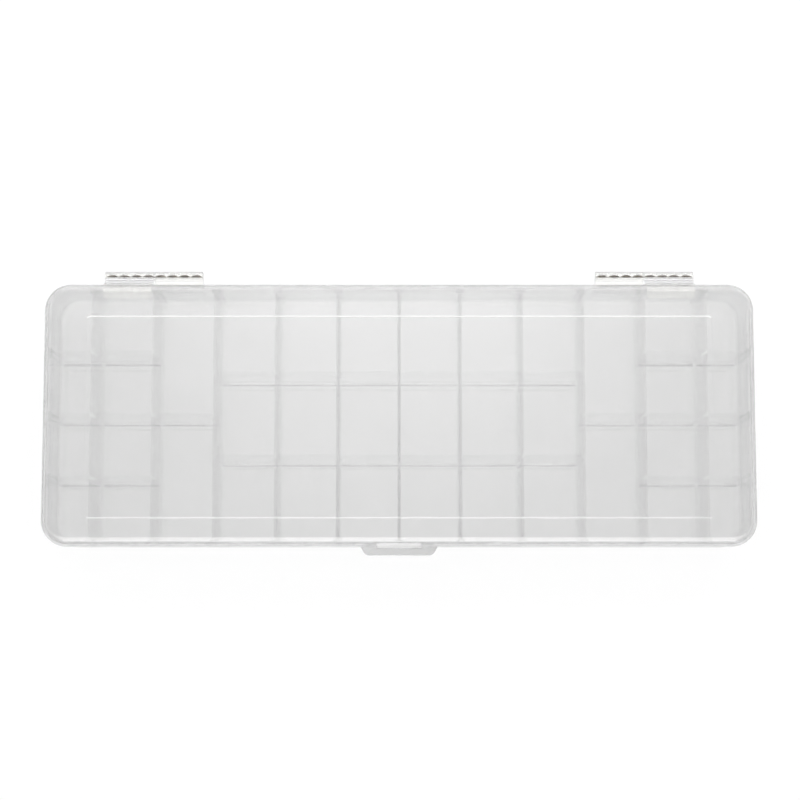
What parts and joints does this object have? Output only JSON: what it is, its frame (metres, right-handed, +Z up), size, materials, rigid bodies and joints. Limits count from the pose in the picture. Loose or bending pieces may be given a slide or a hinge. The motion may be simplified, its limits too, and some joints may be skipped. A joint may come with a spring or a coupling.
{
  "type": "compartment storage box",
  "caption": "Long, low box of clear milky plastic: a tray with slotted dividers that make small open-topped compartments, and a shallow lid on pinned hinges with a front tongue.",
  "frame": {"origin": "centre of the tray's flat underside", "axes": "+X along the length, to the right seen from the latch side; +Y from the latch to the hinges; +Z up"},
  "size_m": [0.356, 0.143, 0.0358],
  "materials": {
    "lid_plastic": "glossy, clear with a milky haze",
    "tray_plastic": "glossy, clear with a milky haze",
    "divider_plastic": "glossy, clear with a milky haze",
    "hinge_plastic": "glossy and clear",
    "pin_steel": "drawn wire"
  },
  "bodies": {
    "tray": {"base_tray": "tray_plastic", "column_divider_01": "divider_plastic", "column_divider_02": "divider_plastic", "column_divider_03": "divider_plastic", "column_divider_04": "divider_plastic", "column_divider_05": "divider_plastic", "column_divider_06": "divider_plastic", "column_divider_07": "divider_plastic", "column_divider_08": "divider_plastic", "column_divider_09": "divider_plastic", "column_divider_10": "divider_plastic", "column_divider_11": "divider_plastic", "row_divider_left_front": "divider_plastic", "row_divider_left_middle": "divider_plastic", "row_divider_left_back": "divider_plastic", "row_divider_right_front": "divider_plastic", "row_divider_right_middle": "divider_plastic", "row_divider_right_back": "divider_plastic", "row_divider_centre_front": "divider_plastic", "row_divider_centre_back": "divider_plastic", "tray_hinge_leaf_left": "hinge_plastic", "tray_hinge_leaf_right": "hinge_plastic", "hinge_pin_left": "pin_steel", "hinge_pin_right": "pin_steel"},
    "lid": {"lid": "lid_plastic", "lid_hinge_leaf_left": "hinge_plastic", "lid_hinge_leaf_right": "hinge_plastic"}
  },
  "joints": [
    {"name": "lid_hinge", "type": "hinge", "parent": "tray", "child": "lid", "pos_m": [0, 0.0705, 0.0285], "axis": [-1, 0, 0], "range_deg": [0, 180]}
  ]
}
